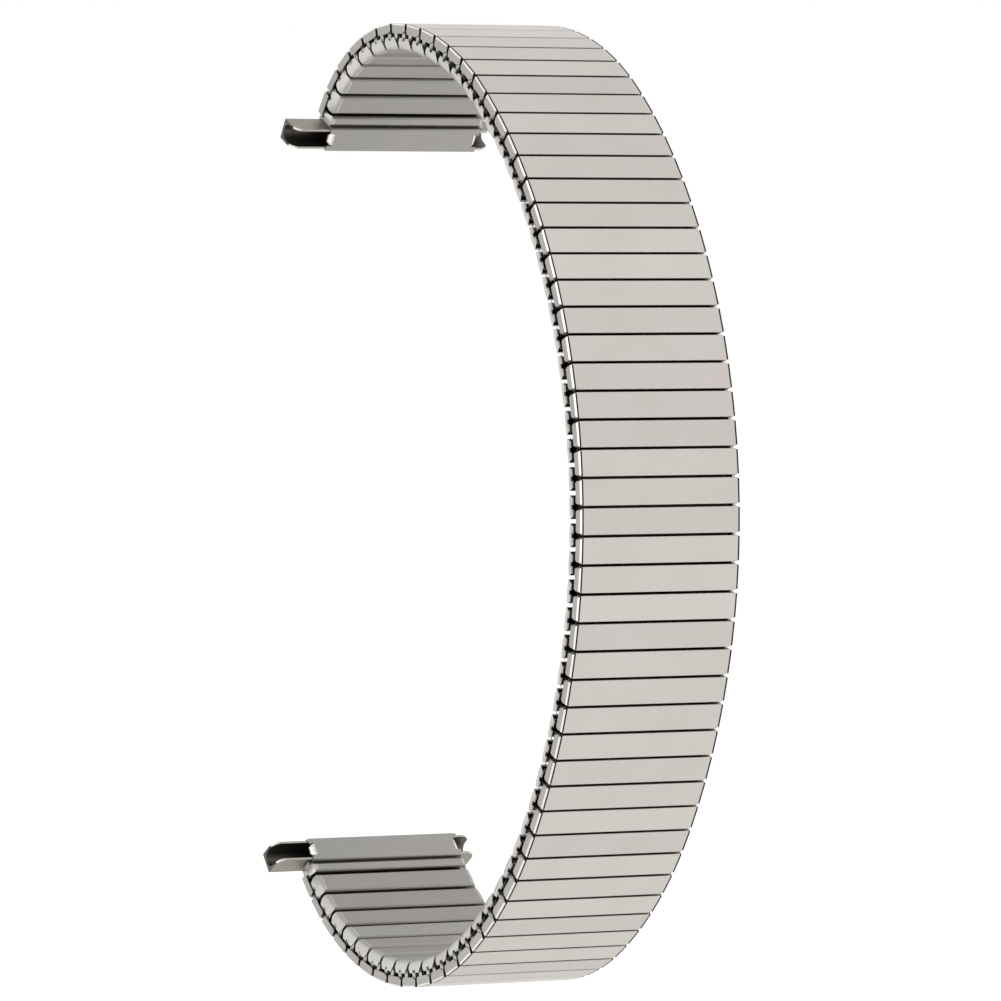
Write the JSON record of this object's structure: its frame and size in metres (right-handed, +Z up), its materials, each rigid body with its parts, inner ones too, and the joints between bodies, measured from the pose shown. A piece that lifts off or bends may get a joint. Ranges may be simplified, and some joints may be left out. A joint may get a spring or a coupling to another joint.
{
  "type": "expansion watch band",
  "caption": "Stretch metal watch band: two rows of staggered sleeve links on tilting sprung staples, with sliding end inserts for the spring bars.",
  "frame": {"origin": "on the axis of the lower end's spring bar, half way across the band", "axes": "+X across the band to the wearer's right edge as the picture shows it, +Z up from the lower end to the upper end, -Y to the outside of the bulge"},
  "size_m": [0.0204, 0.0482, 0.0843],
  "materials": {
    "outer_satin_steel": "satin, warm light grey",
    "inner_brushed_steel": "brushed across the band",
    "spring_steel": "bright drawn wire and strip",
    "end_link_steel": "satin",
    "insert_steel": "plain folded sheet"
  },
  "bodies": {
    "links_01": {"outer_links_01": "outer_satin_steel", "inner_links_01": "inner_brushed_steel", "staples_and_springs_01": "spring_steel"},
    "links_02": {"outer_links_02": "outer_satin_steel", "inner_links_02": "inner_brushed_steel", "staples_and_springs_02": "spring_steel"},
    "links_03": {"outer_links_03": "outer_satin_steel", "inner_links_03": "inner_brushed_steel", "staples_and_springs_03": "spring_steel"},
    "links_04": {"outer_links_04": "outer_satin_steel", "inner_links_04": "inner_brushed_steel", "staples_and_springs_04": "spring_steel"},
    "links_05": {"outer_links_05": "outer_satin_steel", "inner_links_05": "inner_brushed_steel", "staples_and_springs_05": "spring_steel"},
    "links_06": {"outer_links_06": "outer_satin_steel", "inner_links_06": "inner_brushed_steel", "staples_and_springs_06": "spring_steel"},
    "links_07": {"outer_links_07": "outer_satin_steel", "inner_links_07": "inner_brushed_steel", "staples_and_springs_07": "spring_steel"},
    "links_08": {"outer_links_08": "outer_satin_steel", "inner_links_08": "inner_brushed_steel", "staples_and_springs_08": "spring_steel"},
    "links_09": {"outer_links_09": "outer_satin_steel", "inner_links_09": "inner_brushed_steel", "staples_and_springs_09": "spring_steel"},
    "links_10": {"outer_links_10": "outer_satin_steel", "inner_links_10": "inner_brushed_steel", "staples_and_springs_10": "spring_steel"},
    "swing_01": {"swing_staples_01": "spring_steel"},
    "bridge_01": {"bridge_link_01": "inner_brushed_steel"},
    "swing_02": {"swing_staples_02": "spring_steel"},
    "bridge_02": {"bridge_link_02": "inner_brushed_steel"},
    "swing_03": {"swing_staples_03": "spring_steel"},
    "bridge_03": {"bridge_link_03": "inner_brushed_steel"},
    "swing_04": {"swing_staples_04": "spring_steel"},
    "bridge_04": {"bridge_link_04": "inner_brushed_steel"},
    "swing_05": {"swing_staples_05": "spring_steel"},
    "bridge_05": {"bridge_link_05": "inner_brushed_steel"},
    "swing_06": {"swing_staples_06": "spring_steel"},
    "bridge_06": {"bridge_link_06": "inner_brushed_steel"},
    "swing_07": {"swing_staples_07": "spring_steel"},
    "bridge_07": {"bridge_link_07": "inner_brushed_steel"},
    "swing_08": {"swing_staples_08": "spring_steel"},
    "bridge_08": {"bridge_link_08": "inner_brushed_steel"},
    "swing_09": {"swing_staples_09": "spring_steel"},
    "bridge_09": {"bridge_link_09": "inner_brushed_steel"},
    "lower_end": {"lower_end_link": "end_link_steel", "lower_end_spring": "spring_steel"},
    "lower_left_insert": {"lower_left_insert": "insert_steel"},
    "lower_right_insert": {"lower_right_insert": "insert_steel"},
    "upper_end": {"upper_end_link": "end_link_steel", "upper_end_spring": "spring_steel"},
    "upper_left_insert": {"upper_left_insert": "insert_steel"},
    "upper_right_insert": {"upper_right_insert": "insert_steel"}
  },
  "joints": [
    {"name": "stretch_01", "type": "slide", "parent": "links_02", "child": "bridge_01", "axis": [0, 0.9982, -0.0602], "range_m": [0, 0.0004989], "stiffness_N_per_m": 2000, "springref_m": -0.0008},
    {"name": "tilt_01", "type": "hinge", "parent": "links_02", "child": "swing_01", "pos_m": [0, -0.01354, -0.00891], "axis": [-1, 0, 0], "range_deg": [0, 24]},
    {"name": "curl_01", "type": "hinge", "parent": "bridge_01", "child": "links_01", "pos_m": [0, -0.01267, -0.00754], "axis": [1, 0, 0], "range_deg": [-5, 8]},
    {"name": "stretch_02", "type": "slide", "parent": "links_03", "child": "bridge_02", "axis": [0, 0.7236, -0.6902], "range_m": [0, 0.0004989], "stiffness_N_per_m": 2000, "springref_m": -0.0008},
    {"name": "tilt_02", "type": "hinge", "parent": "links_03", "child": "swing_02", "pos_m": [0, -0.0279, -0.00602], "axis": [-1, 0, 0], "range_deg": [0, 24]},
    {"name": "curl_02", "type": "hinge", "parent": "bridge_02", "child": "links_02", "pos_m": [0, -0.02634, -0.00553], "axis": [1, 0, 0], "range_deg": [-5, 8]},
    {"name": "stretch_03", "type": "slide", "parent": "links_04", "child": "bridge_03", "axis": [0, 0.3509, -0.9364], "range_m": [0, 0.0004989], "stiffness_N_per_m": 2000, "springref_m": -0.0008},
    {"name": "tilt_03", "type": "hinge", "parent": "links_04", "child": "swing_03", "pos_m": [0, -0.03832, 0.0043], "axis": [-1, 0, 0], "range_deg": [0, 24]},
    {"name": "curl_03", "type": "hinge", "parent": "bridge_03", "child": "links_03", "pos_m": [0, -0.03671, 0.00406], "axis": [1, 0, 0], "range_deg": [-5, 8]},
    {"name": "stretch_04", "type": "slide", "parent": "links_05", "child": "bridge_04", "axis": [0, 0.0592, -0.9982], "range_m": [0, 0.0004989], "stiffness_N_per_m": 2000, "springref_m": -0.0008},
    {"name": "tilt_04", "type": "hinge", "parent": "links_05", "child": "swing_04", "pos_m": [0, -0.04424, 0.0177], "axis": [-1, 0, 0], "range_deg": [0, 24]},
    {"name": "curl_04", "type": "hinge", "parent": "bridge_04", "child": "links_04", "pos_m": [0, -0.04279, 0.01699], "axis": [1, 0, 0], "range_deg": [-5, 8]},
    {"name": "stretch_05", "type": "slide", "parent": "links_05", "child": "bridge_05", "axis": [0, -0.208, 0.9781], "range_m": [0, 0.0004989], "stiffness_N_per_m": 2000, "springref_m": -0.0008},
    {"name": "tilt_05", "type": "hinge", "parent": "links_05", "child": "swing_05", "pos_m": [0, -0.04606, 0.03113], "axis": [1, 0, 0], "range_deg": [0, 24]},
    {"name": "curl_05", "type": "hinge", "parent": "bridge_05", "child": "links_06", "pos_m": [0, -0.04485, 0.0322], "axis": [-1, 0, 0], "range_deg": [-5, 8]},
    {"name": "stretch_06", "type": "slide", "parent": "links_06", "child": "bridge_06", "axis": [0, 0.0836, 0.9965], "range_m": [0, 0.0004989], "stiffness_N_per_m": 2000, "springref_m": -0.0008},
    {"name": "tilt_06", "type": "hinge", "parent": "links_06", "child": "swing_06", "pos_m": [0, -0.0439, 0.04561], "axis": [1, 0, 0], "range_deg": [0, 24]},
    {"name": "curl_06", "type": "hinge", "parent": "bridge_06", "child": "links_07", "pos_m": [0, -0.04243, 0.04629], "axis": [-1, 0, 0], "range_deg": [-5, 8]},
    {"name": "stretch_07", "type": "slide", "parent": "links_07", "child": "bridge_07", "axis": [0, 0.368, 0.9298], "range_m": [0, 0.0004989], "stiffness_N_per_m": 2000, "springref_m": -0.0008},
    {"name": "tilt_07", "type": "hinge", "parent": "links_07", "child": "swing_07", "pos_m": [0, -0.03765, 0.05885], "axis": [1, 0, 0], "range_deg": [0, 24]},
    {"name": "curl_07", "type": "hinge", "parent": "bridge_07", "child": "links_08", "pos_m": [0, -0.03605, 0.05907], "axis": [-1, 0, 0], "range_deg": [-5, 8]},
    {"name": "stretch_08", "type": "slide", "parent": "links_08", "child": "bridge_08", "axis": [0, 0.6776, 0.7354], "range_m": [0, 0.0004989], "stiffness_N_per_m": 2000, "springref_m": -0.0008},
    {"name": "tilt_08", "type": "hinge", "parent": "links_08", "child": "swing_08", "pos_m": [0, -0.02753, 0.06945], "axis": [1, 0, 0], "range_deg": [0, 24]},
    {"name": "curl_08", "type": "hinge", "parent": "bridge_08", "child": "links_09", "pos_m": [0, -0.02595, 0.06907], "axis": [-1, 0, 0], "range_deg": [-5, 8]},
    {"name": "stretch_09", "type": "slide", "parent": "links_09", "child": "bridge_09", "axis": [0, 0.9816, 0.1909], "range_m": [0, 0.0004989], "stiffness_N_per_m": 2000, "springref_m": -0.0008},
    {"name": "tilt_09", "type": "hinge", "parent": "links_09", "child": "swing_09", "pos_m": [0, -0.01355, 0.07386], "axis": [1, 0, 0], "range_deg": [0, 24]},
    {"name": "curl_09", "type": "hinge", "parent": "bridge_09", "child": "links_10", "pos_m": [0, -0.0125, 0.07259], "axis": [-1, 0, 0], "range_deg": [-5, 8]},
    {"name": "lower_left_slide", "type": "slide", "parent": "lower_end", "child": "lower_left_insert", "axis": [-1, 0, 0], "range_m": [-0.0032, 0.0024]},
    {"name": "lower_right_slide", "type": "slide", "parent": "lower_end", "child": "lower_right_insert", "axis": [1, 0, 0], "range_m": [-0.0012, 0.0044]},
    {"name": "lower_end_curl", "type": "hinge", "parent": "links_01", "child": "lower_end", "pos_m": [0, -0.00159, -0.00104], "axis": [1, 0, 0], "range_deg": [-5, 8]},
    {"name": "upper_left_slide", "type": "slide", "parent": "upper_end", "child": "upper_left_insert", "axis": [-1, 0, 0], "range_m": [-0.0032, 0.0024]},
    {"name": "upper_right_slide", "type": "slide", "parent": "upper_end", "child": "upper_right_insert", "axis": [1, 0, 0], "range_m": [-0.0012, 0.0044]},
    {"name": "upper_end_curl", "type": "hinge", "parent": "links_10", "child": "upper_end", "pos_m": [0, -0.00208, 0.06583], "axis": [-1, 0, 0], "range_deg": [-5, 8]}
  ],
  "couplings": [
    {"joint": "tilt_01", "follows": "stretch_01", "rad_per_m": 839.46},
    {"joint": "tilt_02", "follows": "stretch_02", "rad_per_m": 839.46},
    {"joint": "tilt_03", "follows": "stretch_03", "rad_per_m": 839.46},
    {"joint": "tilt_04", "follows": "stretch_04", "rad_per_m": 839.46},
    {"joint": "tilt_05", "follows": "stretch_05", "rad_per_m": 839.46},
    {"joint": "tilt_06", "follows": "stretch_06", "rad_per_m": 839.46},
    {"joint": "tilt_07", "follows": "stretch_07", "rad_per_m": 839.46},
    {"joint": "tilt_08", "follows": "stretch_08", "rad_per_m": 839.46},
    {"joint": "tilt_09", "follows": "stretch_09", "rad_per_m": 839.46}
  ]
}
